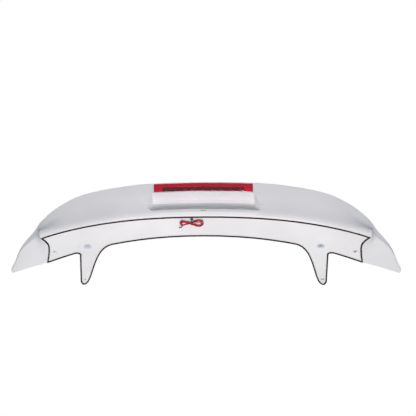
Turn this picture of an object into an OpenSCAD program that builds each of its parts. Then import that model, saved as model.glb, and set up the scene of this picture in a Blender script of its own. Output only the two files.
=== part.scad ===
// Lip spoiler with a built-in brake lamp, in the car's own frame.
// +X is across the car, +Y is forward, +Z is up, and all sizes are millimetres.
// Zero lies midway between the two middle fixing inserts, where their flanges seat.

/* [Mounting pad] */
// Half width of the mounting pad, centre to outer corner
pad_half = 542; // [480:1:600]
// Pad rear edge behind the middle inserts, at the centre
rear_set = 123; // [100:1:150]
// How far the rear edge sweeps forward by the pad end
rear_sweep = 47; // [20:1:70]
// Pad front edge behind the middle inserts, at the centre
front_set = 24; // [0:1:50]
// How far the front edge sweeps forward by the pad end
front_sweep = 81; // [50:1:110]
// Radius of the crown of the boot lid under the pad
crown_r = 2800; // [2000:10:5000]
// Depth of the hollow in the outline of each pad end
end_hollow = 20; // [0:1:28]

/* [Fixing legs] */
// Where the front edge starts to turn into a leg
leg_in = 316; // [300:1:340]
// Outer side of a leg at its root
leg_out = 425; // [415:1:450]
// Tip of a leg in front of the middle inserts
leg_reach = 222; // [190:1:260]
// Outward lean of a leg for each millimetre forward
leg_lean = 0.15; // [0:0.01:0.2]
// Thickness of a leg at its middle
leg_t = 14; // [11:0.5:18]
// Radius over the edges of a leg
leg_round = 12; // [6:1:16]
// Radius of the fillet between a leg's outer side and the pad
leg_fillet = 20; // [10:1:26]

/* [Outer shell] */
// Wall of the outer shell
wall = 2.5; // [2:0.1:3.5]
// Width of the shell's rim outside the seam
rim_w = 3; // [2:0.5:5]
// Thickness of the front edge of the shell
edge_t = 7.5; // [7:0.5:10]
// Half span from the centre to a horn tip
tip_x = 669; // [640:1:720]
// Trailing edge behind the middle inserts, at the centre
te_set = 185; // [175:1:205]
// How far the trailing edge would sweep forward by the tip
te_sweep = 266; // [250:1:275]
// Height of the trailing edge over the mounting face
te_rise = 99; // [88:1:120]
// Height of the bevel between the pad and the crease
bevel_h = 18; // [12:1:22]
// Overhang of the crease behind the pad
bevel_out = 18; // [12:1:22]

/* [Pocket below the lamp] */
// Depth of the pocket from the trailing edge
pocket_d = 60; // [52:1:62]
// Half width of the pocket at the crease
pocket_out = 187; // [182:1:215]
// Width of the drain slot
drain_w = 16; // [8:1:24]
// Height of the drain slot
drain_h = 3.5; // [3:0.5:5]

/* [Brake lamp] */
// Width of the lamp over its lens
lamp_w = 323; // [300:1:332]
// Upright height of the lamp over its lens
lamp_h = 23.5; // [20:0.5:26]
// Forward lean of the lamp face for each millimetre down
lamp_tilt = 0.6; // [0.4:0.05:0.65]
// Depth of the lamp recess
recess_d = 15; // [15:0.5:18]
// Shell lip above the lamp
lip = 2.8; // [2.5:0.1:4]
// Thickness of the foam seal round the lamp
seal_t = 0.6; // [0.4:0.1:1.2]
// Thickness of the lens
lens_t = 2.2; // [1.8:0.1:2.4]
// Depth of the skirt behind the lens
skirt_d = 3; // [2:0.1:3.4]
// Wall of the lamp housing
tub_wall = 1.5; // [1.2:0.1:2.5]
// Depth of the lamp housing
tub_d = 8.5; // [7:0.1:9]
// Depth of the foam seal
seal_d = 7; // [4:0.5:9]
// Thickness of the circuit board
board_t = 1.6; // [1:0.1:2.4]
// Pitch of the light emitting diodes
led_pitch = 30; // [24:0.5:32]
// Side of a diode package
led_w = 5; // [3:0.5:6]
// Height of a diode package
led_h = 2.4; // [1.5:0.1:3.5]
// Thickness of the bezel inside the lens
bezel_t = 1.5; // [1:0.1:2]
// Width of the bezel inside the lens
bezel_w = 270; // [262:1:290]
// Height of the bezel over the lamp's lower edge
bezel_h = 13; // [12:0.5:16]
// Height of the diode row over the lamp's lower edge
led_up = 7.5; // [6:0.5:8]
// Height of the circuit board
board_h = 10; // [8:0.5:11]

/* [Base panel and inserts] */
// Thickness of the base panel
panel_t = 2.5; // [2:0.1:3]
// Middle inserts in from the outer side of a leg's root
mid_in = 29; // [20:1:45]
// Outer inserts in from the pad's outer corner
outer_in = 32; // [30:1:47]
// Outer inserts in front of the middle ones
outer_y = 8.5; // [0:0.5:20]
// Leg inserts in from the outer side of a leg
leg_side = 12.1; // [11:0.1:14]
// Leg inserts behind the tip of a leg
leg_tip_in = 31; // [27:1:40]
// Radius of the thread in an insert
thread_r = 3; // [2.5:0.5:4]
// Radius of an insert's knurled body
insert_r = 5; // [4.5:0.5:6]
// Length of an insert
insert_l = 7.5; // [6:0.5:8]
// Radius of an insert's flange
flange_r = 6.5; // [6:0.5:8]
// Thickness of an insert's flange
flange_t = 1.2; // [0.8:0.1:2]
// Radius of the dimple round an insert
dimple_r = 12; // [10:0.5:13]
// Radius of the dimple round a leg insert
leg_dimple_r = 9; // [8:0.5:10]

/* [Edge gasket] */
// Width of the gasket bead
bead_w = 5.2; // [3:0.1:6]
// Height of the gasket bead
bead_h = 2.8; // [1.5:0.1:4]

/* [Lamp lead] */
// Radius of the lead
lead_r = 2.2; // [1.5:0.1:3]
// Radius of the lead grommet's barrel
grommet_r = 3.6; // [3.4:0.1:4.2]
// Radius of the grommet's flange
grommet_flange = 5.6; // [5:0.1:6]
// Thickness of each flange of the grommet
grommet_t = 1.4; // [1:0.1:2]

/* [Hidden] */
fit_gap = 0.1;
step = 0.8;
$fn = 40;

// Plain helpers
function mix(a, b, t) = a + (b - a) * t;
function within(v, lo, hi) = max(lo, min(hi, v));
function ease(t) = let (c = within(t, 0, 1)) c * c * (3 - 2 * c);
function drop(a, edge) = within((edge + step - a) / step, 0, 1);
function part_of(c, t, i = 0) = (i >= len(c) - 2 || t < c[i + 1][0]) ? i : part_of(c, t, i + 1);
function lean(c, i) = i == 0 || c[i][1] == c[i - 1][1] ? 0
    : i == len(c) - 1 ? (c[i][1] - c[i - 1][1]) / (c[i][0] - c[i - 1][0])
    : (c[i + 1][1] - c[i - 1][1]) / (c[i + 1][0] - c[i - 1][0]);
// Smooth curve through a few share and value pairs
function along(c, t0) =
    let (t = within(t0, c[0][0], c[len(c) - 1][0]),
         i = part_of(c, t),
         w = c[i + 1][0] - c[i][0],
         s = (t - c[i][0]) / w)
    (2 * s * s * s - 3 * s * s + 1) * c[i][1] + (s * s * s - 2 * s * s + s) * w * lean(c, i)
    + (3 * s * s - 2 * s * s * s) * c[i + 1][1] + (s * s * s - s * s) * w * lean(c, i + 1);
function sorted(v) = len(v) < 2 ? v
    : let (p = v[floor(len(v) / 2)])
      concat(sorted([for (x = v) if (x < p) x]), [for (x = v) if (x == p) x],
             sorted([for (x = v) if (x > p) x]));
function thinned(v, gap) = [for (i = [0 : len(v) - 1]) if (i == 0 || v[i] - v[i - 1] > gap) v[i]];
function bend(a, b, c, t) = (1 - t) * (1 - t) * a + 2 * t * (1 - t) * b + t * t * c;

// Plan curves as shares of the half span
te_curve = [[0, 0], [0.27, 0], [0.45, 0.035], [0.6, 0.085], [0.685, 0.15], [0.772, 0.263],
            [0.867, 0.455], [0.932, 0.635], [0.975, 0.835], [1, 0.94]];
rise_curve = [[0, 1], [0.27, 1], [0.45, 1], [0.6, 0.95], [0.69, 0.85], [0.775, 0.715], [0.869, 0.455],
              [0.942, 0.2], [0.968, 0.12], [1, 0.085]];
leg_curve = [[0, 0], [0.08, 0.01], [0.26, 0.067], [0.44, 0.2], [0.57, 0.44], [0.69, 0.775],
             [0.76, 0.915], [0.83, 0.98], [0.9, 1], [0.955, 0.98], [1, 0.9]];

function horn(a) = within((a - pad_half) / (tip_x - pad_half), 0, 1);
function front_base(a) = a <= pad_half ? -front_set + front_sweep * pow(a / pad_half, 2.2)
    : front_sweep - front_set + 25 * horn(a);
function front(a, grow) =
    let (b = front_base(a) + grow, lo = leg_in - grow, hi = leg_out + grow, r = leg_fillet - grow)
    a > hi ? b + (a < hi + r ? r - sqrt(r * r - pow(hi + r - a, 2)) : 0)
    : a <= lo ? b : mix(b, leg_reach + grow, along(leg_curve, (a - lo) / (hi - lo)));
function rear(a) = a <= pad_half ? -rear_set + rear_sweep * pow(a / pad_half, 3.1)
    : -rear_set + rear_sweep + (a - pad_half);
function te(a) = -te_set + te_sweep * along(te_curve, a / tip_x);
function rise(a) = te_rise * along(rise_curve, a / tip_x);

// Places of the inserts, tied to the leg and the pad's end
mid_x = leg_out - mid_in;
outer_x = pad_half - outer_in;
leg_y = leg_reach - leg_tip_in;
lean_from = front_base(leg_out) + 27;
leg_x = leg_out - leg_side + leg_lean * (leg_y - lean_from);

// Crown of the mounting face, below zero by the least depth of a dimple at the middle inserts
dimple_least = 0.3;
function crown(x) = (pow(mid_x - dimple_r, 2) - x * x) / (2 * crown_r) - dimple_least;
// The legs lean outwards and the pad ends are hollow, so lines of equal share bend in plan
end_turn = 44;
end_fade = 80;
lean_fade = 40;
function hollow(y) =
    let (q = (y - rear_sweep + rear_set) / end_turn,
         s = (y - rear_sweep + rear_set - end_turn)
             / (front_sweep - front_set - rear_sweep + rear_set - end_turn))
    q < 1 ? sin(90 * max(0, 0.18 + 0.82 * q)) : 1 - pow(within(s, 0, 1), 1.4);
function across(a, y) = a + leg_lean * max(0, y - lean_from) * ease((a - leg_in + lean_fade) / lean_fade)
      * ease((leg_out + leg_fillet + 21 - a) / 25)
    - end_hollow * hollow(y) * ease(1 - abs(a - pad_half) / end_fade);

// The cavity ends this far short of the pad's end, where the panel laps a flat ledge of the horn
end_lap = 6;

// Stations across the half span
recess_half = lamp_w / 2 + seal_t;
lamp_line = [0, 58, 116];
pocket_in = recess_half + step + wall + step + 1;
stations = thinned(sorted(concat(
    lamp_line, [recess_half, recess_half + step],
    [recess_half + step + wall, recess_half + 2 * step + wall, pocket_in, pocket_out],
    [for (k = [1 : 3]) mix(pocket_out, leg_in - rim_w, k / 4)],
    [leg_in - rim_w],
    [for (k = [0, 0.1, 0.2, 0.31, 0.41, 0.49, 0.56, 0.625, 0.69, 0.76, 0.83, 0.9, 0.955, 1])
        mix(leg_in, leg_out, k)],
    [leg_out + step, leg_out + rim_w, leg_out + rim_w + step],
    [for (k = [0.4, 0.65, 1]) leg_out + k * leg_fillet],
    [for (k = [1 : 4]) mix(leg_out + leg_fillet, pad_half, k / 5)],
    [pad_half - end_lap - step, pad_half - end_lap, pad_half, pad_half + step],
    [for (k = [0.06, 0.14, 0.23, 0.33, 0.44, 0.55, 0.66, 0.76, 0.85, 0.92, 0.97, 1])
        mix(pad_half, tip_x, k)])), 0.3);
full = concat([for (i = [len(stations) - 1 : -1 : 1]) -stations[i]], stations);

// The pocket narrows upwards, so its sides lean in by a share given with each section point
flare_in = 17.5;
function flare(a) = flare_in * (a <= pocket_in ? 0 : a <= pocket_out ? (a - pocket_in) / (pocket_out - pocket_in)
    : ease((leg_in - rim_w - a) / (leg_in - rim_w - pocket_out)));

// One section point goes to its place over the crowned face
function place(u, p) =
    let (x = sign(u) * (across(abs(u), p[0]) - (len(p) > 2 ? p[2] * flare(abs(u)) : 0)))
    [x, p[0], p[1] + crown(x)];

// Height of the top surface over the mounting face
function ramp_q(a, y) =
    let (f = front_base(a) + rim_w, b = te(a) + 5) within((f - y) / max(1, f - b), 0, 1);
function plate(a, y) =
    let (hi = leg_out + rim_w, f = front(a, rim_w),
         tilt = (front(min(a + 1, hi), rim_w) - front(a - 1, rim_w)) / 2,
         d = min((f - y) / sqrt(1 + tilt * tilt), hi - a))
    edge_t + (leg_t - edge_t) * sin(90 * within(d / leg_round, 0, 1));
function top(a, y) =
    let (r = edge_t + max(0, rise(a) - edge_t) * pow(sin(90 * ramp_q(a, y)), 1.3))
    (a <= leg_in - rim_w || a > leg_out + rim_w) ? r
    : let (p = plate(a, y)) max(r, p) + pow(max(0, 5 - abs(r - p)), 2) / 20;

// Lower corner of the leaning face under the trailing edge
function face_h(a) = min(lip + lamp_h + 2 * seal_t, 0.36 * rise(a));
function face_z(a) = rise(a) - face_h(a);
function face_y(a) = te(a) + lamp_tilt * (face_h(a) - lip * min(1, rise(a) / 30));
function horn_w(a) = ease(within((a - pad_half - step) / 34, 0, 1));
function pocket_w(a) = within((pocket_out - a) / (pocket_out - pocket_in), 0, 1);
// Crease above the bevel, which runs out into the trailing edge on the horns
function crease(a) = [mix(rear(a) - bevel_out, face_y(a) + 1.5, horn_w(a)),
                      mix(bevel_h, face_z(a) - 0.12 * rise(a), horn_w(a))];

// Rear face from the lower corner down to the crease
function cove(a, grow) =
    let (k = crease(a), n = min(1, rise(a) / 30), z = face_z(a) - 3 * n,
         y = face_y(a) + mix(lamp_tilt * 3 * n, 1, pocket_w(a)), w = pocket_w(a - grow),
         c = [mix(y, k[0], 0.62) + grow, mix(k[1], z, 0.52)],
         in = te(a) + pocket_d + grow,
         deep = [[in - 18, z + 1.5 + grow], [in - 6, z - 1 + grow], [in, z - 9 + grow],
                 [in, k[1] + 1.2 + grow]])
    [for (i = [0 : 3])
        let (t = (i + 1) / 5,
             o = [bend(y + grow, c[0], k[0] + grow, t), bend(z + grow * 0.8, c[1], k[1], t)])
        [mix(o[0], deep[i][0], w), mix(o[1], deep[i][1], w), [0.85, 0.6, 0.35, 0.12][i]]];

// Underside of a horn, from the crease to the front edge
function belly(a, t) =
    let (k = crease(a), f = front(a, rim_w) - 1.2)
    [bend(k[0], mix(k[0], f, 0.3), f, t), bend(k[1], k[1] * 0.12, 0, t)];
function under(a, p, t) =
    let (w = horn_w(a), b = belly(a, t)) [mix(p[0], b[0], w), mix(p[1], b[1], w)];

function outer_path(a) =
    let (f = front(a, rim_w), s = front(a, 0), b = te(a), h = rise(a), r = rear(a), z = face_z(a),
         g = face_y(a), k = crease(a), n = min(1, h / 30), back = min(front_base(a) + rim_w, f - 16 * n),
         deep = recess_d * drop(a, recess_half))
    concat(
        [under(a, [s, 0], 0.97), [f - 1.2, 0], [f, 1.5 * n], [f, edge_t - 2 * n], [f - 2 * n, edge_t]],
        [for (t = [0.3, 0.65, 1]) let (y = mix(f - 2 * n, back, t)) [y, top(a, y)]],
        [for (t = [0.12, 0.26, 0.42, 0.6, 0.78, 0.92])
            let (y = mix(back, b + 5 * n, t)) [y, top(a, y)]],
        [[b + 3.5 * n, h], [b + 0.8 * n, h - 0.8 * n], [b, h - lip * n]],
        [for (t = [0, 1]) deep > 1 ? [mix(b, g, t) + deep, mix(h - lip * n, z, t)]
            : [mix(b, g, mix(0.35, 0.7, t)), mix(h - lip * n, z, mix(0.35, 0.7, t)), mix(0.35, 0.7, t)]],
        [[g, z, 1], [g + mix(lamp_tilt * 3 * n, 1, pocket_w(a)), z - 3 * n, 1]],
        cove(a, 0),
        [k],
        [under(a, [mix(k[0], r - rim_w, 0.2), k[1] * 0.55], 0.06),
         under(a, [mix(k[0], r - rim_w, 0.6), k[1] * 0.18], 0.12),
         under(a, [r - rim_w, 0], 0.18),
         under(a, [r, 0], 0.24)]);

function inner_path(a) =
    let (s = front(a, 0), b = te(a), g = face_y(a), h = rise(a), r = rear(a), z = face_z(a),
         k = crease(a), w = pocket_w(a - wall),
         d = mix(wall + 1.5, recess_d + wall, drop(a, recess_half + step + wall)),
         c = cove(a, wall), y0 = b + d + 1, back = min(front_base(a), s - 16))
    concat(
        [[r, panel_t], [r - 3, panel_t + 1.5], [k[0] + wall + 4, k[1] * 0.55 + wall],
         [mix(k[0] + wall + 1, b + pocket_d + wall - 0.5, w), k[1] + mix(1, -2, w)]],
        [c[3], c[2], c[1], c[0]],
        [[g + d - 0.2, z + wall * 0.6, 1], [mix(g, b, 0.5) + d, mix(z, h, 0.5), 0.5]],
        [for (t = [0, 0.18, 0.4, 0.62, 0.84])
            let (y = mix(y0, back, t)) [y, max(panel_t + 0.8, top(a, y) - wall * 1.15)]],
        [for (t = [0, 0.5, 0.92])
            let (y = mix(back, s - 1.5, t)) [y, max(panel_t + 0.7, top(a, y) - wall * 1.15)]],
        [[s, panel_t]]);

// Places along the seam level, from the rear edge to the front edge. The pad's end is a line
// through the first list, and the second list puts a section's inner points on that line.
seam_shares = [0, 0.23, 0.42, 0.52, 0.6, 0.67, 0.73, 0.79, 0.86, 0.93, 1];
inner_shares = [1, 0.975, 0.95, 0.93, 0.9, 0.86, 0.825, 0.79, 0.76, 0.73,
                0.7, 0.67, 0.6, 0.52, 0.42, 0.23, 0.12, 0.04, 0];
last_share = len(seam_shares) - 1;
function on_seam(u, t, z) =
    let (i = part_of([for (q = seam_shares) [q, 0]], t), a = abs(u), r = rear(a), s = front(a, 0),
         f = (t - seam_shares[i]) / (seam_shares[i + 1] - seam_shares[i]))
    mix(place(u, [mix(s, r, seam_shares[i]), z]), place(u, [mix(s, r, seam_shares[i + 1]), z]), f);

function inner_ring(u) =
    let (a = abs(u), r = rear(a), s = front(a, 0))
    a <= pad_half - end_lap - step + 0.01 ? [for (p = inner_path(a)) place(u, p)]
    : a <= pad_half + 0.01 ? [for (t = inner_shares) on_seam(u, t, panel_t)]
    : a <= pad_half + step + 0.01 ? [for (t = inner_shares) on_seam(u, within(t, 0.008, 0.993), 0)]
    : [for (t = inner_shares) let (q = within(t, 0.008, 0.993))
        place(u, under(a, [mix(s, r, q), 0], mix(0.97, 0.24, q)))];

function ring(u) = concat([for (p = outer_path(abs(u))) place(u, p)], inner_ring(u));

// Skin between closed rings, with a low cone over each end ring
function skin_faces(n, m) = [for (i = [0 : n - 2]) for (j = [0 : m - 1])
    let (a = i * m + j, b = i * m + (j + 1) % m)
    each [[a, b, b + m], [a, b + m, a + m]]];
function middle(r) = [for (k = [0 : 2]) let (v = [for (p = r) p[k]]) (min(v) + max(v)) / 2];

module loft(rings, bulge) {
    n = len(rings);
    m = len(rings[0]);
    pts = concat([for (r = rings) each r],
                 [middle(rings[0]) - [bulge, 0, 0], middle(rings[n - 1]) + [bulge, 0, 0]]);
    caps = [for (j = [0 : m - 1]) each [
        [n * m, (j + 1) % m, j],
        [n * m + 1, (n - 1) * m + j, (n - 1) * m + (j + 1) % m]]];
    polyhedron(points = pts, faces = concat(skin_faces(n, m), caps), convexity = 10);
}

// A strip whose upper and lower lines answer each other, with its ends closed across
module strip(rings, closed) {
    n = len(rings);
    m = len(rings[0]);
    h = m / 2;
    ends = [for (j = [0 : h - 2]) each [
        [j + 1, j, m - 1 - j], [j + 1, m - 1 - j, m - 2 - j],
        [(n - 1) * m + j, (n - 1) * m + j + 1, (n - 1) * m + m - 1 - j],
        [(n - 1) * m + j + 1, (n - 1) * m + m - 2 - j, (n - 1) * m + m - 1 - j]]];
    wrap = [for (j = [0 : m - 1]) let (a = (n - 1) * m + j, b = (n - 1) * m + (j + 1) % m)
        each [[a, b, (j + 1) % m], [a, (j + 1) % m, j]]];
    polyhedron(points = [for (r = rings) each r],
               faces = concat(skin_faces(n, m), closed ? wrap : ends), convexity = 10);
}

// Insert places: across, forward, and the radius of the dimple
outer_at = [outer_x, outer_y, dimple_r];
mid_at = [mid_x, 0, dimple_r];
leg_at = [leg_x, leg_y, leg_dimple_r];
dimple_d = 2.6;
dimple_back = 1.8;
function seat_z(at) = crown(at[0] - at[2]) + dimple_least;
function each_insert() = [for (s = [-1, 1]) for (at = [outer_at, mid_at, leg_at]) [s, at]];
grommet_at = [-38, -113];

// Lamp levels over the mounting face, and depths from the trailing edge
lamp_top = te_rise - lip - seal_t;
lamp_low = lamp_top - lamp_h;
lens_y = 0.6 - te_set;
tub_y = lens_y + lens_t + skirt_d;
board_y = tub_y + led_h * norm([1, lamp_tilt]) + 3 * fit_gap;
tub_back = tub_y + tub_d;
recess_y = recess_d - te_set;
lamp_mid = (lamp_top + lamp_low) / 2;
function lamp_lean(z) = lamp_tilt * (te_rise - lip - z);
lid_line = concat(lamp_line, [recess_half]);
function lid(x) = let (a = abs(x), i = part_of([for (q = lid_line) [q, 0]], a))
    mix(crown(lid_line[i]), crown(lid_line[i + 1]), (a - lid_line[i]) / (lid_line[i + 1] - lid_line[i]));
function lamp_xs(hx) = concat([-hx], [for (i = [2, 1]) -lamp_line[i]], lamp_line, [hx]);

// A leaning slab that follows the crown across the lamp, and one as wide as the lamp or nearly
module slab(xs, y, d, low, high) {
    strip([for (x = xs) [
        [x, y + lamp_lean(low), lid(x) + low], [x, y + lamp_lean(high), lid(x) + high],
        [x, y + d + lamp_lean(high), lid(x) + high], [x, y + d + lamp_lean(low), lid(x) + low]]], false);
}
module bar(hx, y, d, low, high) {
    slab(lamp_xs(hx), y, d, low, high);
}

module band(hx, y, d, low, high, t) {
    difference() {
        bar(hx, y, d, low, high);
        bar(hx - t, y - 1, d + 2, low + t, high - t);
    }
}

module lead_hole(y, d) {
    translate([grommet_at[0], y + lamp_lean(lamp_mid) - 2.5, lid(grommet_at[0]) + lamp_mid])
    rotate([-90, 0, 0])
    cylinder(r = lead_r + fit_gap, h = d + 5);
}

module outer_shell() {
    color([0.9, 0.9, 0.91])
    difference() {
        loft([for (u = full) ring(u)], 3);
        lead_hole(recess_y - 1, wall + 3);
        translate([-drain_w / 2, -rear_set - bevel_out - 2, crown(0) + bevel_h - 1.4 - drain_h])
        cube([drain_w, wall + 12, drain_h]);
    }
}

function panel_ring(u, t) = concat([for (q = seam_shares) on_seam(u, q, 0)],
                                   [for (i = [last_share : -1 : 0]) on_seam(u, seam_shares[i], t)]);
module sheet(t) {
    strip([for (u = full) if (abs(u) <= pad_half) panel_ring(u, t)], false);
}

module base_panel() {
    color([0.82, 0.83, 0.84])
    difference() {
        union() {
            sheet(panel_t);
            // Each dimple is backed from inside, and no backing stands out of the mounting face
            intersection() {
                sheet(dimple_back + panel_t + dimple_d);
                for (k = each_insert())
                translate([k[0] * k[1][0], k[1][1], seat_z(k[1]) - dimple_back - dimple_d])
                cylinder(r = k[1][2] + panel_t * 0.8, h = 2 * dimple_back + dimple_d);
            }
            for (k = each_insert())
            translate([k[0] * k[1][0], k[1][1], seat_z(k[1])])
            cylinder(r = insert_r + 2, h = insert_l);
        }
        for (k = each_insert())
        translate([k[0] * k[1][0], k[1][1], seat_z(k[1])]) {
            translate([0, 0, -20]) cylinder(r = k[1][2], h = 20 - dimple_d);
            translate([0, 0, -dimple_d]) cylinder(r1 = k[1][2], r2 = flange_r + 1, h = dimple_d);
            translate([0, 0, -1]) cylinder(r = insert_r + 0.05, h = insert_l + 5);
        }
        translate([grommet_at[0], grommet_at[1], 0]) cylinder(r = grommet_r, h = 60);
    }
}

// Seam between shell and panel, as one closed line of plan points
seam_us = [for (u = full) if (abs(u) <= pad_half) u];
function plan_at(u, y) = [sign(u) * across(abs(u), y), y];
function end_line(s) = [for (i = [last_share - 1 : -1 : 1])
    plan_at(s * pad_half, mix(front(pad_half, 0), rear(pad_half), seam_shares[i]))];
seam = concat([for (u = seam_us) plan_at(u, rear(abs(u)))], end_line(1),
              [for (i = [len(seam_us) - 1 : -1 : 0]) plan_at(seam_us[i], front(abs(seam_us[i]), 0))],
              [for (i = [last_share - 2 : -1 : 0]) end_line(-1)[i]]);
function unit(v) = v / max(0.001, norm(v));
function side_of(v) = [-v[1], v[0]];

module edge_gasket() {
    n = len(seam);
    rings = [for (i = [0 : n - 1])
        let (p = seam[i], a = unit(p - seam[(i + n - 1) % n]), b = unit(seam[(i + 1) % n] - p),
             m = side_of(unit(a + b)), k = 1 / max(0.6, m * side_of(a)))
        [for (q = [[-0.5, 0], [0.5, 0], [0.34, -1], [-0.34, -1]])
            let (g = p + m * k * q[0] * bead_w)
            [g[0], g[1], crown(g[0]) - 0.05 + q[1] * bead_h]]];
    color([0.2, 0.16, 0.17])
    strip(rings, true);
}

module lamp_lens() {
    color([0.7, 0.05, 0.1])
    difference() {
        bar(lamp_w / 2, lens_y, lens_t + skirt_d, lamp_low, lamp_top);
        bar(lamp_w / 2 - tub_wall, lens_y + lens_t, skirt_d + 1, lamp_low + tub_wall, lamp_top - tub_wall);
    }
}

post_x = 96;
post_r = 3;
module lamp_housing() {
    color([0.12, 0.12, 0.13])
    difference() {
        union() {
            difference() {
                bar(lamp_w / 2, tub_y, tub_d, lamp_low, lamp_top);
                bar(lamp_w / 2 - tub_wall, tub_y - 1, tub_d + 1 - tub_wall,
                    lamp_low + tub_wall, lamp_top - tub_wall);
            }
            for (x = [-post_x, post_x])
            slab([x - post_r, x + post_r], board_y + board_t, tub_back - tub_wall / 2 - board_y - board_t,
                 lamp_low + led_up - post_r, lamp_low + led_up + post_r);
        }
        lead_hole(tub_back - tub_wall - 1, tub_wall + 2);
    }
}

module lamp_seal() {
    color([0.25, 0.25, 0.27])
    band(lamp_w / 2 + seal_t, lens_y + lens_t, seal_d, lamp_low - seal_t, lamp_top + seal_t, seal_t);
}

module lamp_board() {
    color([0.1, 0.35, 0.2])
    bar(lamp_w / 2 - 12, board_y, board_t, lamp_low + led_up - board_h / 2, lamp_low + led_up + board_h / 2);
}

module lamp_bezel() {
    color([0.08, 0.08, 0.09])
    difference() {
        bar(bezel_w / 2, tub_y - bezel_t, bezel_t, lamp_low + tub_wall, lamp_low + bezel_h);
        for (k = [-4 : 4])
        translate([k * led_pitch - led_w * 0.8, tub_y - bezel_t + lamp_lean(lamp_low + led_up) - led_w,
                   lid(k * led_pitch) + lamp_low + led_up - led_w * 0.8])
        cube([led_w * 1.6, bezel_t + 2 * led_w, led_w * 1.6]);
    }
}

module led(k) {
    color([0.95, 0.85, 0.6])
    translate([k * led_pitch, board_y + lamp_lean(lamp_low + led_up),
               lid(k * led_pitch) + lamp_low + led_up])
    rotate([atan(lamp_tilt), 0, 0])
    translate([-led_w / 2, -led_h, -led_w / 2])
    cube([led_w, led_h, led_w]);
}

// Threaded insert, mouth down, its flange against the floor of the dimple
module insert(s, at) {
    color([0.7, 0.75, 0.8])
    translate([s * at[0], at[1], seat_z(at)])
    difference() {
        union() {
            translate([0, 0, -flange_t]) cylinder(r = flange_r, h = flange_t);
            cylinder(r = insert_r, h = insert_l);
        }
        translate([0, 0, -flange_t - 1]) cylinder(r = thread_r, h = insert_l + flange_t + 2);
    }
}

deck_z = lid(grommet_at[0]);
module lead_grommet() {
    color([0.35, 0.36, 0.38])
    translate([grommet_at[0], grommet_at[1], deck_z])
    difference() {
        union() {
            translate([0, 0, -grommet_t - fit_gap]) cylinder(r = grommet_flange, h = grommet_t);
            translate([0, 0, -grommet_t]) cylinder(r = grommet_r - 0.05, h = panel_t + 2 * grommet_t);
            translate([0, 0, panel_t + fit_gap]) cylinder(r = grommet_flange, h = grommet_t);
        }
        translate([0, 0, -5]) cylinder(r = lead_r + fit_gap, h = 12);
    }
}

// Lead routes, as chosen points; the first runs inside the shell, the second hangs free
inner_route = [[-38, -165.3, 109.5], [-38, -155, 109.5], [-38, -143, 107.5], [-38, -130, 103.5],
               [-38, -119, 94], [-38, -114.5, 80], [-38, -113, 62], [-38, -113, 22]];
outer_route = [[-38, -113, 22], [-38, -113, 15], [-37, -111, 8], [-32, -106, 4], [-26, -101, 4],
               [-21, -98, 8], [-20, -98, 14]];
function knot(r, i) = r[within(i, 0, len(r) - 1)];
function smooth(r, k) = concat([for (i = [0 : len(r) - 2]) for (j = [0 : k - 1])
    let (t = j / k, a = knot(r, i - 1), b = r[i], c = r[i + 1], d = knot(r, i + 2))
    0.5 * (2 * b + t * (c - a) + t * t * (2 * a - 5 * b + 4 * c - d)
           + t * t * t * (3 * b - a - 3 * c + d))], [r[len(r) - 1]]);

module tube(route, k, ends) {
    p = smooth(route, k);
    n = len(p);
    rings = [for (i = [0 : n - 1])
        let (d = i == 0 ? ends[0] : i == n - 1 ? ends[1] : unit(p[i + 1] - p[i - 1]),
             s = unit(cross(d, abs(d[0]) < 0.9 ? [1, 0, 0] : [0, 1, 0])), q = cross(s, d))
        [for (j = [0 : 7]) p[i] + lead_r * (cos(45 * j) * s + sin(45 * j) * q)]];
    loft_ends(rings);
}

// A swept tube with flat ends
module loft_ends(rings) {
    n = len(rings);
    m = len(rings[0]);
    polyhedron(points = [for (r = rings) each r],
               faces = concat([for (i = [0 : n - 2]) for (j = [0 : m - 1])
                   let (a = i * m + j, b = i * m + (j + 1) % m) each [[a, a + m, b + m], [a, b + m, b]]],
                   [[for (j = [0 : m - 1]) j], [for (j = [m - 1 : -1 : 0]) (n - 1) * m + j]]),
               convexity = 6);
}

module lead_inner() {
    color([0.7, 0.1, 0.1]) tube(inner_route, 2, [[0, 1, 0], [0, 0, -1]]);
}

module lead_outer() {
    color([0.7, 0.1, 0.1]) tube(outer_route, 2, [[0, 0, -1], [0, 0, 1]]);
}

hank_at = [-38, -99, 14];
hank_l = 80;
hank_t = 9;
hank_loop_r = 16;
hank_neck_r = 5;
tie_w = 4;
tie_t = 1.1;
module hank_outline() {
    for (s = [-1, 1])
    hull() {
        translate([s * (hank_l / 2 - hank_loop_r), 0]) circle(r = hank_loop_r);
        circle(r = hank_neck_r);
    }
}
module lead_hank() {
    color([0.75, 0.15, 0.15])
    translate(hank_at)
    linear_extrude(hank_t)
    hank_outline();
}

module lead_tie() {
    color([0.06, 0.06, 0.06])
    translate(hank_at)
    difference() {
        translate([-tie_w / 2, -hank_neck_r - 2 * tie_t, -tie_t])
        cube([tie_w, 2 * hank_neck_r + 4 * tie_t, hank_t + 2 * tie_t]);
        linear_extrude(hank_t) hank_outline();
    }
}

outer_shell();
base_panel();
edge_gasket();
lamp_lens();
lamp_housing();
lamp_seal();
lamp_board();
lamp_bezel();
led(-4);  // led_1
led(-3);  // led_2
led(-2);  // led_3
led(-1);  // led_4
led(0);  // led_5
led(1);  // led_6
led(2);  // led_7
led(3);  // led_8
led(4);  // led_9
insert(-1, outer_at);  // insert_outer_left
insert(1, outer_at);  // insert_outer_right
insert(-1, mid_at);  // insert_mid_left
insert(1, mid_at);  // insert_mid_right
insert(-1, leg_at);  // insert_leg_left
insert(1, leg_at);  // insert_leg_right
lead_grommet();
lead_inner();
lead_outer();
lead_hank();
lead_tie();
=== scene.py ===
# A boot lid lip spoiler with a built-in brake lamp, seen from below and behind.
import bpy
import bmesh
import math
from mathutils import Matrix, Vector


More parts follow.
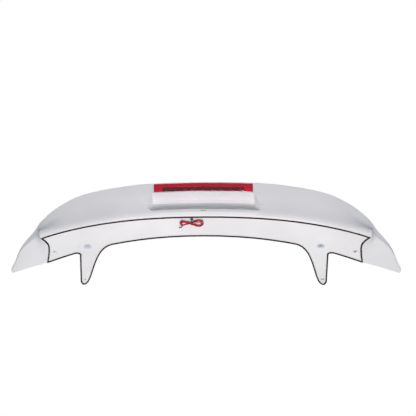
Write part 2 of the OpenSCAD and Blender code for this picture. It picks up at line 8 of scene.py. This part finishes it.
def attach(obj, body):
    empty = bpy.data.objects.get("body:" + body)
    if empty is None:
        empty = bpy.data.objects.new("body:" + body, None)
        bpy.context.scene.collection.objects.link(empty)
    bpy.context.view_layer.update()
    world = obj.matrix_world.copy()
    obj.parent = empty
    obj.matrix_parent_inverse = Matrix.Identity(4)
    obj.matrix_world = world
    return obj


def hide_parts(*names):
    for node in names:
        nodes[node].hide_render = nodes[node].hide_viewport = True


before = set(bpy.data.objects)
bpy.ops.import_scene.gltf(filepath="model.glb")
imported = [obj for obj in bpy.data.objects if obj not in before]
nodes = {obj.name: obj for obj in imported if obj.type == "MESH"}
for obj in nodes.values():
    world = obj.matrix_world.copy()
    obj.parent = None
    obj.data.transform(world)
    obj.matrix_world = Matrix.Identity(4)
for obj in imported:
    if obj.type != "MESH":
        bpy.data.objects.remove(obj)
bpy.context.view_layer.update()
scene = bpy.context.scene

MM = 0.001
PHOTO_PX = 416
SENSOR_MM = 36.0

# ---------------------------------------------------------------- sizes in mm, as in the part's source
CROWN_RADIUS = 2800
MID_INSERT_X = 396
DIMPLE_R = 12
DIMPLE_LEAST = 0.3
TRAILING_EDGE_SET = 185
RISE = 99
LIP = 2.8
LAMP_WIDTH = 323
LAMP_HEIGHT = 23.5
LAMP_TILT = 0.6
SEAL_THICK = 0.6
LAMP_LOW = RISE - LIP - SEAL_THICK - LAMP_HEIGHT
LAMP_STOPS = (0, 58, 116, LAMP_WIDTH / 2 + SEAL_THICK)
LENS_FACE_Y = 0.6 - TRAILING_EDGE_SET
LENS_THICK = 2.2
LENS_DEPTH = 5.2
LENS_WALL = 1.5
LENS_EDGE_R = 1.2
LENS_COLUMNS = 320
LENS_ROWS = 18
FLUTE_PITCH = 3.3
FLUTE_DEEP = 0.3
PILLOW_DEEP = 0.5
BEZEL_HALF = 135
BEZEL_HEIGHT = 13
HANK_AT = (-38, -99, 14)
HANK_LENGTH = 80
HANK_LOOP_R = 16
LEAD_R = 2.2
LEAD_STEP = 1.8
LEAD_LAY = 46.0
WIRE_RADII = (1.15, 1.15, 0.95)
GROMMET_EXIT = (-38, -113, 22)
LEG_DIMPLE_R = 9
HORN_ROOT = ((522, -98, 12), (582, -52, -2))
HORN_ROOT_REACH = 42
HORN_ROOT_LOW = -17
HORN_ROOT_FADE = 0.6
HORN_ROOT_SEAM_FADE = 8
HORN_ROOT_EDGES = (9, 6, 4)
HORN_ROOT_ROUNDS = 150
FILL_STEP = 0.6
CAD_WELD = 0.02
INSERTS = {
    "insert_outer_left": (-510, 8.5), "insert_outer_right": (510, 8.5),
    "insert_mid_left": (-396, 0), "insert_mid_right": (396, 0),
    "insert_leg_left": (-434, 191), "insert_leg_right": (434, 191),
}


def crown(x):
    """Height of the crowned mounting face at x, in mm."""
    return ((MID_INSERT_X - DIMPLE_R) ** 2 - x * x) / (2 * CROWN_RADIUS) - DIMPLE_LEAST


def lid(x):
    """The crown in straight steps, as the lamp follows it, in mm."""
    a = min(abs(x), LAMP_STOPS[-1])
    for low, high in zip(LAMP_STOPS, LAMP_STOPS[1:]):
        if a <= high:
            return crown(low) + (crown(high) - crown(low)) * (a - low) / (high - low)


def lamp_point(x, depth, height):
    """A place in the lamp: across it, forward of the lens's face, and over the lens's lower edge."""
    level = LAMP_LOW + height
    return Vector((x, LENS_FACE_Y + depth + LAMP_TILT * (RISE - LIP - level), lid(x) + level))


# ---------------------------------------------------------------- camera
def place_camera():
    """Looks up at the underside from behind, as fitted to the photograph. The fitted axis of the
    lens passes to the left of the part, and the shift brings the part back to its place."""
    drop, yaw, roll = (math.radians(a) for a in (38.49, -1.13, -0.91))
    target = Vector((0, -0.0385, 0.026))
    distance = 2.0
    focal_px = 589.16
    target_px = (203.01, 232.89)
    axis_px = (164.39, 228.86)
    ray = Vector(((target_px[0] - axis_px[0]) / focal_px,
                  (axis_px[1] - target_px[1]) / focal_px, -1))
    aside = ray.rotation_difference(Vector((0, 0, -1))).to_matrix()
    back = Vector((math.sin(yaw) * math.cos(drop),
                   -math.cos(yaw) * math.cos(drop), -math.sin(drop)))
    right = Vector((math.cos(yaw), math.sin(yaw), 0))
    up = back.cross(right)
    data = bpy.data.cameras.new("photo_camera")
    data.sensor_width = SENSOR_MM
    data.lens = focal_px * SENSOR_MM / PHOTO_PX
    data.shift_x = (PHOTO_PX / 2 - axis_px[0]) / PHOTO_PX
    data.shift_y = (axis_px[1] - PHOTO_PX / 2) / PHOTO_PX
    data.clip_start, data.clip_end = 0.05, 60
    camera = bpy.data.objects.new("photo_camera", data)
    scene.collection.objects.link(camera)
    turn = Matrix((right, up, back)).transposed() @ Matrix.Rotation(roll, 3, "Z") @ aside
    camera.matrix_world = Matrix.Translation(target + back * distance) @ turn.to_4x4()
    scene.camera = camera


place_camera()


# ---------------------------------------------------------------- colour and shader helpers
def linear(code):
    """An sRGB hex colour as linear RGBA."""
    channels = [int(code[i:i + 2], 16) / 255 for i in (0, 2, 4)]
    return tuple(c / 12.92 if c <= 0.04045 else ((c + 0.055) / 1.055) ** 2.4
                 for c in channels) + (1.0,)


def feed(tree, node, **inputs):
    """Gives each named input a link or a value (item_3 means input number 3)."""
    for key, value in inputs.items():
        socket = node.inputs[int(key[5:]) if key.startswith("item_") else key.replace("_", " ")]
        if isinstance(value, bpy.types.NodeSocket):
            tree.links.new(value, socket)
        else:
            socket.default_value = value


def add(tree, kind, settings=None, **inputs):
    """One node with its settings and inputs."""
    node = tree.nodes.new(kind)
    for key, value in (settings or {}).items():
        setattr(node, key, value)
    feed(tree, node, **inputs)
    return node


def new_finish(name):
    """An empty material with its shader and output."""
    mat = bpy.data.materials.new(name)
    mat.use_nodes = True
    tree = mat.node_tree
    tree.nodes.clear()
    shader = tree.nodes.new("ShaderNodeBsdfPrincipled")
    out = tree.nodes.new("ShaderNodeOutputMaterial")
    tree.links.new(shader.outputs[0], out.inputs[0])
    return mat, tree, shader


def place_of(tree):
    """The place on the piece, in metres."""
    return tree.nodes.new("ShaderNodeTexCoord").outputs["Object"]


def noise_of(tree, size_mm, detail=2.0):
    """Noise whose features are size_mm wide."""
    return add(tree, "ShaderNodeTexNoise", None, Vector=place_of(tree),
               Scale=1 / (size_mm * MM), Detail=detail, Roughness=0.5).outputs["Fac"]


def spread(tree, value, low, high, start=0.35, end=0.65):
    """A value from start to end, such as noise, mapped to low to high."""
    return add(tree, "ShaderNodeMapRange", None, Value=value, From_Min=start, From_Max=end,
               To_Min=low, To_Max=high).outputs[0]


def blend_colours(tree, share, first, second):
    """From the first colour to the second; each is a hex code or another node's colour."""
    first, second = (colour if isinstance(colour, bpy.types.NodeSocket) else linear(colour)
                     for colour in (first, second))
    return add(tree, "ShaderNodeMix", {"data_type": "RGBA"}, Factor=share,
               item_6=first, item_7=second).outputs[2]


def relief(tree, height, depth_mm):
    """Fine bumps, depth_mm deep, too small to be in the mesh."""
    return add(tree, "ShaderNodeBump", None, Height=height, Distance=depth_mm * MM,
               Strength=1.0).outputs[0]


# ---------------------------------------------------------------- finishes
def primed_abs(name, pale, dull, peel_mm, rough, dimple_shade_at=()):
    """Injection-moulded ABS sprayed with a pale satin primer: a soft sheen, faint clouding where
    the coat is thicker, and the spray's own fine orange peel. Round each listed dimple place a cool
    grey is blended in: painted shade standing in for the shade in the dimples round the inserts."""
    cloud_mm, grain_mm, wear_mm = 170, 1.1, 45
    full_grey_mm, no_grey_mm = 8, 16
    mat, tree, shader = new_finish(name)
    cloud = noise_of(tree, cloud_mm, 2.0)
    grain = noise_of(tree, grain_mm, 3.0)
    colour = blend_colours(tree, spread(tree, cloud, 0.0, 1.0), pale, dull)
    colour = blend_colours(tree, spread(tree, grain, 0.0, 0.05), colour, "C9CACF")
    # Painted shade: a cool grey, full within full_grey_mm of each dimple and gone by no_grey_mm, stands
    # in for the dimple's shade.
    for x, y in dimple_shade_at:
        away = add(tree, "ShaderNodeVectorMath", {"operation": "DISTANCE"}, item_0=place_of(tree),
                   item_1=(x * MM, y * MM, crown(x) * MM)).outputs["Value"]
        share = spread(tree, away, 0.7, 0.0, full_grey_mm * MM, no_grey_mm * MM)
        colour = blend_colours(tree, share, colour, "A9AFC0")
    feed(tree, shader, Base_Color=colour,
         Roughness=spread(tree, noise_of(tree, wear_mm, 3.0), rough - 0.05, rough + 0.05),
         Normal=relief(tree, noise_of(tree, peel_mm, 2.0), 0.02),
         IOR=1.54, Coat_Weight=0.15, Coat_Roughness=0.2)
    return mat


def extruded_bead():
    """Extruded soft PVC edging, dark brown: dull and waxy, with a fine grain and a little dust."""
    mat, tree, shader = new_finish("extruded_pvc_bead")
    dust = spread(tree, noise_of(tree, 9, 4.0), 0.0, 0.3, 0.45, 0.75)
    feed(tree, shader, Base_Color=blend_colours(tree, dust, "2A1719", "453637"),
         Roughness=spread(tree, noise_of(tree, 3, 3.0), 0.5, 0.65),
         Normal=relief(tree, noise_of(tree, 0.8, 3.0), 0.06), IOR=1.25)
    return mat


def red_acrylic(name, colour, deeper, clear):
    """Moulded red PMMA: glossy, its dye a little stronger in the flow streaks. Its textured optics
    scatter light and glow red, and its polished window shows the dark bezel behind it."""
    mat, tree, shader = new_finish(name)
    streak = spread(tree, noise_of(tree, 26, 2.0), 0.0, 1.0)
    feed(tree, shader, Base_Color=blend_colours(tree, streak, colour, deeper),
         Roughness=spread(tree, noise_of(tree, 12, 2.0), 0.04, 0.1),
         IOR=1.49, Transmission_Weight=clear, Specular_IOR_Level=0.25)
    return mat


def metallised_tub():
    """ABS tub with vacuum-deposited aluminium, as a lamp's reflector: bright, with a soft haze."""
    mat, tree, shader = new_finish("vacuum_metallised_abs")
    haze = noise_of(tree, 8, 3.0)
    feed(tree, shader,
         Base_Color=blend_colours(tree, spread(tree, haze, 0.0, 1.0), "E3E5E8", "D3D6DB"),
         Roughness=spread(tree, haze, 0.24, 0.36),
         Normal=relief(tree, noise_of(tree, 1.6, 2.0), 0.03), Metallic=1.0)
    return mat


def moulded_plastic(name, colour, scuffed, rough, grain_mm=0.7, ior=1.53):
    """A moulded thermoplastic with a fine spark-eroded grain and faint scuffs."""
    mat, tree, shader = new_finish(name)
    scuff = noise_of(tree, 6, 4.0)
    worn = spread(tree, scuff, 0.0, 0.6, 0.5, 0.8)
    feed(tree, shader, Base_Color=blend_colours(tree, worn, colour, scuffed),
         Roughness=spread(tree, scuff, rough - 0.06, rough + 0.1),
         Normal=relief(tree, noise_of(tree, grain_mm, 2.0), 0.03), IOR=ior)
    return mat


def zinc_plate():
    """Turned steel with bright zinc plate: cool, slightly blotched, with a fine grain."""
    mat, tree, shader = new_finish("bright_zinc_plate")
    blotch = noise_of(tree, 2.5, 3.0)
    feed(tree, shader,
         Base_Color=blend_colours(tree, spread(tree, blotch, 0.0, 1.0), "C9D4DE", "A9B8C6"),
         Roughness=spread(tree, blotch, 0.22, 0.4),
         Normal=relief(tree, noise_of(tree, 0.35, 2.0), 0.02), Metallic=1.0)
    return mat


def foam_tape():
    """Closed-cell PE foam tape: matt, with open cells along its cut edge."""
    cell_mm = 0.6
    mat, tree, shader = new_finish("closed_cell_foam")
    cells = add(tree, "ShaderNodeTexVoronoi", None, Vector=place_of(tree),
                Scale=1 / (cell_mm * MM)).outputs["Distance"]
    feed(tree, shader,
         Base_Color=blend_colours(tree, spread(tree, cells, 0, 1, 0.1, 0.7), "17181A", "2C2D30"),
         Normal=relief(tree, cells, 0.15), Roughness=0.85, IOR=1.45)
    return mat


def solder_mask():
    """Glass-epoxy board under green solder mask, with paler copper tracks just showing through."""
    track_mm = 9
    mat, tree, shader = new_finish("green_solder_mask")
    tracks = add(tree, "ShaderNodeTexBrick", {"offset": 0.5}, Vector=place_of(tree),
                 Scale=1 / (track_mm * MM), Mortar_Size=0.06).outputs["Fac"]
    feed(tree, shader, Base_Color=blend_colours(tree, tracks, "12502F", "2E7A4C"),
         Roughness=0.3, IOR=1.55)
    return mat


SHELL = primed_abs("satin_primed_abs_shell", "F1EEF0", "EBE8EA", 2.6, 0.36)
# The panel gets painted shade round the two mid insert dimples.
PANEL = primed_abs("satin_primed_abs_panel", "F5F2F3", "EEEBEC", 3.4, 0.33,
                   dimple_shade_at=(INSERTS["insert_mid_left"], INSERTS["insert_mid_right"]))
BEAD = extruded_bead()
LENS = red_acrylic("textured_red_acrylic", "E60C36", "D5082E", 0.2)
WINDOW = red_acrylic("polished_red_acrylic", "D8405F", "CC3152", 0.94)
TUB = metallised_tub()
BEZEL = moulded_plastic("gloss_black_abs", "120D0E", "1D1617", 0.18, 1.4)
FOAM = foam_tape()
BOARD = solder_mask()
DIODE = moulded_plastic("diode_package", "E9DDAE", "D8C88C", 0.3, 0.5)
ZINC = zinc_plate()
GROMMET = moulded_plastic("grey_moulded_rubber", "6C7178", "7F848B", 0.6, 0.5, 1.52)
RED_WIRE = moulded_plastic("red_pvc_insulation", "C80A28", "A00A1E", 0.4, 1.2, 1.33)
BLACK_WIRE = moulded_plastic("black_pvc_insulation", "161416", "262325", 0.35, 1.2)
NYLON = moulded_plastic("black_nylon_tie", "121213", "232325", 0.42, 0.6)


def finish_nodes():
    """Gives every CAD node the finish of the real piece."""
    finishes = {
        "outer_shell": SHELL, "base_panel": PANEL, "edge_gasket": BEAD, "lamp_lens": LENS,
        "lamp_housing": TUB, "lamp_seal": FOAM, "lamp_board": BOARD, "lamp_bezel": BEZEL,
        "lead_grommet": GROMMET, "lead_inner": RED_WIRE, "lead_outer": RED_WIRE,
        "lead_hank": RED_WIRE, "lead_tie": NYLON,
    }
    for name, node in nodes.items():
        finish = finishes.get(name)
        if finish is None:
            finish = DIODE if name.startswith("led_") else ZINC
        node.data.materials.clear()
        node.data.materials.append(finish)


finish_nodes()


# ---------------------------------------------------------------- mesh helpers
def piece(name, bm, finishes, replaces, smooth=True, crisp=180):
    """Turns a bmesh in millimetres into a named piece that rides with the part. Edges over crisp
    degrees stay sharp."""
    bmesh.ops.recalc_face_normals(bm, faces=bm.faces)
    mesh = bpy.data.meshes.new(name)
    bm.to_mesh(mesh)
    bm.free()
    mesh.transform(Matrix.Scale(MM, 4))
    for polygon in mesh.polygons:
        polygon.use_smooth = smooth
    if crisp < 180:
        mesh.set_sharp_from_angle(angle=math.radians(crisp))
    for finish in finishes:
        mesh.materials.append(finish)
    obj = bpy.data.objects.new(name, mesh)
    scene.collection.objects.link(obj)
    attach(obj, "root")
    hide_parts(*replaces)
    return obj


def curve_through(points, per_span):
    """A smooth line through the points, a Catmull-Rom curve."""
    ends = [points[0] * 2 - points[1]] + points + [points[-1] * 2 - points[-2]]
    line = []
    for i in range(1, len(ends) - 2):
        a, b, c, d = ends[i - 1:i + 3]
        for j in range(per_span):
            t = j / per_span
            line.append(0.5 * (2 * b + t * (c - a) + t * t * (2 * a - 5 * b + 4 * c - d)
                               + t ** 3 * (3 * b - a - 3 * c + d)))
    return line + [points[-1]]


def evenly(line, step):
    """The line again, with points a fixed step apart."""
    out, left = [line[0]], step
    for a, b in zip(line, line[1:]):
        span = (b - a).length
        while span > 0 and left <= span:
            a = a + (b - a) * (left / span)
            span -= left
            out.append(a)
            left = step
        left -= span
    if (out[-1] - line[-1]).length > 0.3 * step:
        out.append(line[-1])
    return out


def frames_along(line):
    """Untwisted side directions along a line."""
    side, out = None, []
    for i, p in enumerate(line):
        ahead = (line[min(i + 1, len(line) - 1)] - line[max(i - 1, 0)]).normalized()
        if side is None:
            side = ahead.orthogonal().normalized()
        side = (side - ahead * side.dot(ahead)).normalized()
        out.append((p, side, ahead.cross(side)))
    return out


def sweep(bm, frames, radius, sides, index):
    """A round tube along the frames, closed at both ends, with the finish of that index."""
    rings = []
    for p, side, over in frames:
        rings.append([bm.verts.new(p + (side * math.cos(a) + over * math.sin(a)) * radius)
                      for a in (2 * math.pi * k / sides for k in range(sides))])
    for low, high in zip(rings, rings[1:]):
        for k in range(sides):
            face = bm.faces.new((low[k], low[(k + 1) % sides], high[(k + 1) % sides], high[k]))
            face.material_index = index
    for ring in (rings[0], rings[-1]):
        bm.faces.new(ring).material_index = index


# ---------------------------------------------------------------- moulded shell
def unit(value):
    """The value kept between 0 and 1."""
    return max(0.0, min(1.0, value))


def root_share(point):
    """1 along the line where the rear face runs out into a horn, and 0 from HORN_ROOT_REACH off it
    or at the seam."""
    near, far = Vector(HORN_ROOT[0]), Vector(HORN_ROOT[1])
    at = Vector((abs(point.x), point.y, point.z))
    along = unit((at - near).dot(far - near) / (far - near).length_squared)
    away = (at - near.lerp(far, along)).length
    by_line = unit((HORN_ROOT_REACH - away) / (HORN_ROOT_FADE * HORN_ROOT_REACH))
    by_seam = unit((point.z - HORN_ROOT_LOW) / HORN_ROOT_SEAM_FADE)
    return by_line * by_seam


def fill_hollows(bm, shares, rounds):
    """Raises what lies below its neighbours, as filler does, and leaves ridges as they are."""
    for _ in range(rounds):
        bm.normal_update()
        moves = []
        for vert, share in shares.items():
            around = [edge.other_vert(vert).co for edge in vert.link_edges]
            middle = sum(around, Vector()) / len(around)
            rise = (middle - vert.co).dot(vert.normal)
            if rise > 0:
                moves.append((vert, vert.normal * rise * share * FILL_STEP))
        for vert, move in moves:
            vert.co += move


def make_shell():
    """The CAD shell again, shaded so that its facets flow into one another, with the hollow at each
    horn's root filled to a soft cove."""
    bm = bmesh.new()
    bm.from_mesh(nodes["outer_shell"].data)
    bm.transform(Matrix.Scale(1 / MM, 4))
    bmesh.ops.remove_doubles(bm, verts=bm.verts, dist=CAD_WELD)
    for longest in HORN_ROOT_EDGES:
        edges = [edge for edge in bm.edges if edge.calc_length() > longest
                 and max(root_share(vert.co) for vert in edge.verts) > 0]
        bmesh.ops.subdivide_edges(bm, edges=edges, cuts=1, use_grid_fill=True)
        bmesh.ops.triangulate(bm, faces=[face for face in bm.faces if len(face.verts) > 3])
    shares = {vert: root_share(vert.co) for vert in bm.verts}
    fill_hollows(bm, {vert: share for vert, share in shares.items() if share > 0}, HORN_ROOT_ROUNDS)
    piece("moulded_shell", bm, [SHELL], replaces=("outer_shell",), crisp=12)


make_shell()


# ---------------------------------------------------------------- lamp lead
def loop_points(side, radius, start, end, z_from, z_to, count):
    """Points round one loop of the hank, from angle start to end in degrees."""
    middle = HANK_AT[0] + side * (HANK_LENGTH / 2 - HANK_LOOP_R)
    points = []
    for k in range(count):
        a = math.radians(start + (end - start) * k / (count - 1))
        points.append(Vector((middle + radius * math.cos(a), HANK_AT[1] + radius * math.sin(a),
                              z_from + (z_to - z_from) * k / (count - 1))))
    return points


def lead_route():
    """Down out of the grommet, round the right loop, and over the waist as a bow, to the bare tail."""
    low, high = HANK_AT[2] + LEAD_R, HANK_AT[2] + 3 * LEAD_R + 0.2
    x0, y0, z0 = GROMMET_EXIT
    outer = HANK_LOOP_R - LEAD_R
    inner = outer - 2 * LEAD_R - 0.1
    waist = Vector((HANK_AT[0], HANK_AT[1], 0))
    lean = Vector((-0.38, 0.92, 0)) * 2.3
    points = [Vector((x0, y0, z0)), Vector((x0, y0, z0 - 3)), Vector((x0 + 1.2, y0, z0 - 7)),
              Vector((x0 + 4.5, y0 + 0.4, z0 - 9.6)), Vector((x0 + 10, y0 + 1.2, low - 2.6)),
              Vector((x0 + 17, y0 + 3.2, low - 0.6))]
    points += loop_points(1, inner, 262, 478, low, low, 10)
    points += [waist - lean + Vector((0, 0, low))]
    points += loop_points(-1, outer, 250, 112, low, high, 9)
    points += [waist + Vector((0, 0, high))]
    points += loop_points(1, outer, 244, 480, high, low, 12)
    points += [waist + lean + Vector((0, 0, low))]
    points += loop_points(-1, inner, 256, 150, low, low - 0.4, 7)
    tail = points[-1]
    for step in ((0.4, 5.2, -1.6), (-3.2, 9.6, -2.2), (-9.6, 12.8, -2.0)):
        points.append(tail + Vector(step))
    return points


def make_lead():
    """Three PVC wires, two red and one black, laid together and tied as a bow; the end is bare."""
    line = evenly(curve_through(lead_route(), 12), LEAD_STEP)
    length = sum((b - a).length for a, b in zip(line, line[1:]))
    frames = frames_along(line)
    bm = bmesh.new()
    for wire, radius in enumerate(WIRE_RADII):
        strand, run = [], 0.0
        for i, (p, side, over) in enumerate(frames):
            if i:
                run += (p - line[i - 1]).length
            turn = 2 * math.pi * (run / LEAD_LAY + wire / 3)
            away = side * math.cos(turn) + over * math.sin(turn)
            strand.append(p + away * (LEAD_R - radius))
        sweep(bm, frames_along(strand), radius, 8, index=1 if wire == 2 else 0)
    wires = piece("lamp_lead", bm, [RED_WIRE, BLACK_WIRE],
                  replaces=("lead_outer", "lead_hank"))
    return wires, [p * MM for p in line], length * MM


def make_tie():
    """Nylon tie round the waist of the hank: a thin strap, its corners rounded by its tension."""
    x, y, z = HANK_AT[0], HANK_AT[1], HANK_AT[2] + 2 * LEAD_R + 0.1
    half_y, half_z, thick, width = 5.1, 4.7, 0.9, 2.6
    count, power = 32, 0.55
    bm = bmesh.new()
    rings = []
    for k in range(count):
        a = 2 * math.pi * k / count
        c, s = math.cos(a), math.sin(a)
        py = half_y * math.copysign(abs(c) ** power, c)
        pz = half_z * math.copysign(abs(s) ** power, s)
        grow = Vector((0, c / half_y, s / half_z)).normalized() * thick
        near, far = Vector((0, py, pz)), Vector((0, py, pz)) + grow
        corners = ((-width / 2, near), (width / 2, near), (width / 2, far), (-width / 2, far))
        rings.append([bm.verts.new(Vector((x + dx, y, z)) + place) for dx, place in corners])
    for k in range(count):
        a, b = rings[k], rings[(k + 1) % count]
        for j in range(4):
            bm.faces.new((a[j], a[(j + 1) % 4], b[(j + 1) % 4], b[j]))
    return piece("waist_tie", bm, [NYLON], smooth=False, replaces=("lead_tie",))


lead, lead_line, lead_length = make_lead()
tie = make_tie()


# ---------------------------------------------------------------- brake lamp lens
def lens_columns():
    """Places across the lens: close at the rounded ends, and even between, three or four to a flute."""
    half = LAMP_WIDTH / 2
    inside = half - LENS_WALL
    ends = [half, half - 0.15, half - 0.5, half - 1.0, inside, inside - 0.05]
    span = [inside - 0.6 - (2 * inside - 1.2) * k / LENS_COLUMNS for k in range(LENS_COLUMNS + 1)]
    return sorted(ends + span + [-x for x in ends])


def flute(x, height):
    """How far the optics on the back of the lens stand out: pillows at the ends, and flutes above
    the bezel."""
    if abs(x) > BEZEL_HALF + 1:
        return (PILLOW_DEEP * abs(math.sin(math.pi * x / FLUTE_PITCH))
                * abs(math.sin(math.pi * height / FLUTE_PITCH)))
    if height > BEZEL_HEIGHT:
        return FLUTE_DEEP * abs(math.sin(math.pi * x / (1.25 * FLUTE_PITCH)))
    return 0.0


def lens_section(x):
    """Closed outline of the lens at x, as depth and height: rounded front, skirt and optics behind."""
    top, radius = LAMP_HEIGHT, LENS_EDGE_R
    in_from_end = max(0.0, radius - (LAMP_WIDTH / 2 - abs(x)))
    round_edge = (0, 0.12, 0.4, 0.75, 1.2)
    front = []
    for height in (*round_edge, 5, 9, BEZEL_HEIGHT, 18, *(top - low for low in reversed(round_edge))):
        in_from_edge = max(0.0, radius - min(height, top - height))
        left = radius ** 2 - in_from_end ** 2 - in_from_edge ** 2
        front.append((radius - math.sqrt(max(0.0, left)), height))
    solid = abs(x) > LAMP_WIDTH / 2 - LENS_WALL - 0.01
    back = []
    for k in range(LENS_ROWS + 1):
        height = top - LENS_WALL - (top - 2 * LENS_WALL) * k / LENS_ROWS
        back.append((LENS_DEPTH if solid else LENS_THICK + flute(x, height), height))
    return (front + [(LENS_DEPTH, top), (LENS_DEPTH, top - LENS_WALL + 0.001)] + back
            + [(LENS_DEPTH, LENS_WALL - 0.001), (LENS_DEPTH, 0)])


def make_lens():
    """The lens leans forward as it goes down and follows the crown of the mounting face."""
    bm = bmesh.new()
    columns = lens_columns()
    rings = [[bm.verts.new(lamp_point(x, depth, height)) for depth, height in lens_section(x)]
             for x in columns]
    for i, (left, right) in enumerate(zip(rings, rings[1:])):
        heights = [height for _, height in lens_section(columns[i])]
        over_bezel = max(abs(columns[i]), abs(columns[i + 1])) < BEZEL_HALF
        for k in range(len(left)):
            face = bm.faces.new((left[k - 1], left[k], right[k], right[k - 1]))
            middle = (heights[k - 1] + heights[k]) / 2
            face.material_index = int(over_bezel and LENS_WALL <= middle < BEZEL_HEIGHT)
    bm.faces.new(rings[0])
    bm.faces.new(rings[-1])
    bmesh.ops.remove_doubles(bm, verts=bm.verts, dist=0.0005)
    piece("brake_lens", bm, [LENS, WINDOW], replaces=("lamp_lens",), crisp=38)


make_lens()


# ---------------------------------------------------------------- threaded inserts
def make_insert(name, at):
    """Turned steel insert: chamfered flange, plain barrel and a cut thread of 1 mm pitch."""
    sides, pitch, root, crest = 32, 1.0, 3.42, 3.02
    seat = crown(abs(at[0]) - (LEG_DIMPLE_R if "leg" in name else DIMPLE_R)) + DIMPLE_LEAST
    barrel = [(3.5, 7.5), (4.8, 7.5), (5, 7.3), (5, 0.02)]
    flange = [(6.35, 0.02), (6.5, -0.13), (6.5, -0.95), (6.25, -1.2), (3.75, -1.2)]
    thread_steps, thread_low = 33, -0.75
    bm = bmesh.new()
    rings = [[(radius, z)] * sides for radius, z in barrel + flange]
    for k in range(thread_steps):
        z = thread_low + k * pitch / 4
        turns = [z / pitch + j / sides for j in range(sides)]
        rings.append([(crest + (root - crest) * abs(2 * (t % 1) - 1), z) for t in turns])
    loops = []
    for ring in rings:
        loops.append([bm.verts.new(Vector((at[0] + r * math.cos(2 * math.pi * j / sides),
                                           at[1] + r * math.sin(2 * math.pi * j / sides), seat + z)))
                      for j, (r, z) in enumerate(ring)])
    for low, high in zip(loops, loops[1:] + loops[:1]):
        for j in range(sides):
            bm.faces.new((low[j - 1], low[j], high[j], high[j - 1]))
    piece(name.replace("insert", "threaded_insert"), bm, [ZINC], replaces=(name,), crisp=30)


for insert_name, insert_at in INSERTS.items():
    make_insert(insert_name, insert_at)


# ---------------------------------------------------------------- light and floor
def soft_light(name, place, aim, size, watts, colour="FFFFFF"):
    """A rectangular area light at the place, turned to the aim; sizes in metres."""
    data = bpy.data.lights.new(name, "AREA")
    data.color = linear(colour)[:3]
    data.shape = "RECTANGLE"
    data.size, data.size_y = size
    data.energy = watts
    lamp = bpy.data.objects.new(name, data)
    lamp.location = place
    lamp.rotation_euler = (Vector(aim) - Vector(place)).to_track_quat("-Z", "Y").to_euler()
    lamp.visible_camera = False
    scene.collection.objects.link(lamp)


def background_rays(tree):
    """1 for the rays that show the background, directly or in metal and glass, and 0 for the rays
    that light the part."""
    path = add(tree, "ShaderNodeLightPath")
    seen = add(tree, "ShaderNodeMath", {"operation": "ADD"},
               item_0=path.outputs["Is Camera Ray"], item_1=path.outputs["Is Glossy Ray"])
    return add(tree, "ShaderNodeMath", {"operation": "ADD", "use_clamp": True},
               item_0=seen.outputs[0], item_1=path.outputs["Is Transmission Ray"]).outputs[0]


def light_studio():
    """A soft light under and behind the part, so steep that the pocket's lower lip shades the wall
    above it, a card of light in front that the bare metal reflects, a light over the part, and an
    even cool white surround."""
    warm = "FFFAF6"
    soft_light("under_light", place=(0.1, -0.94, -1.71), aim=(0, -0.1, 0.05), size=(0.3, 0.3),
               watts=26, colour=warm)
    soft_light("front_card", place=(-0.3, 2.1, -1.5), aim=(0, 0, 0), size=(2.0, 0.9),
               watts=7, colour=warm)
    soft_light("over_light", place=(-0.6, -0.7, 2.2), aim=(0, 0, 0), size=(1.8, 1.8), watts=17)
    world = bpy.data.worlds.new("white_surround")
    scene.world = world
    world.use_nodes = True
    tree = world.node_tree
    tree.nodes.clear()
    seen = background_rays(tree)
    level = add(tree, "ShaderNodeMapRange", None, Value=seen, To_Min=0.29, To_Max=1.0)
    tint = blend_colours(tree, seen, "C8DEEF", "FFFFFF")
    surround = add(tree, "ShaderNodeBackground", None, Color=tint, Strength=level.outputs[0])
    out = tree.nodes.new("ShaderNodeOutputWorld")
    tree.links.new(surround.outputs[0], out.inputs[0])


def lay_floor():
    """Pale painted studio floor, well below the camera, which looks up from under the part."""
    half_width, level, cloud_mm = 60, -1.95, 900
    bm = bmesh.new()
    bmesh.ops.create_grid(bm, x_segments=1, y_segments=1, size=half_width)
    mesh = bpy.data.meshes.new("studio_floor")
    bm.to_mesh(mesh)
    bm.free()
    floor = bpy.data.objects.new("studio_floor", mesh)
    floor.location = (0, 0, level)
    scene.collection.objects.link(floor)
    mat, tree, shader = new_finish("pale_floor_paint")
    cloud = spread(tree, noise_of(tree, cloud_mm, 3.0), 0, 1)
    glow = add(tree, "ShaderNodeMapRange", None, Value=background_rays(tree), To_Max=0.52)
    feed(tree, shader, Base_Color=blend_colours(tree, cloud, "F4F4F4", "EFEFF0"), Roughness=0.9,
         Emission_Color=linear("FFFCFA"), Emission_Strength=glow.outputs[0])
    mesh.materials.append(mat)


light_studio()
lay_floor()
scene.view_settings.view_transform = "Standard"
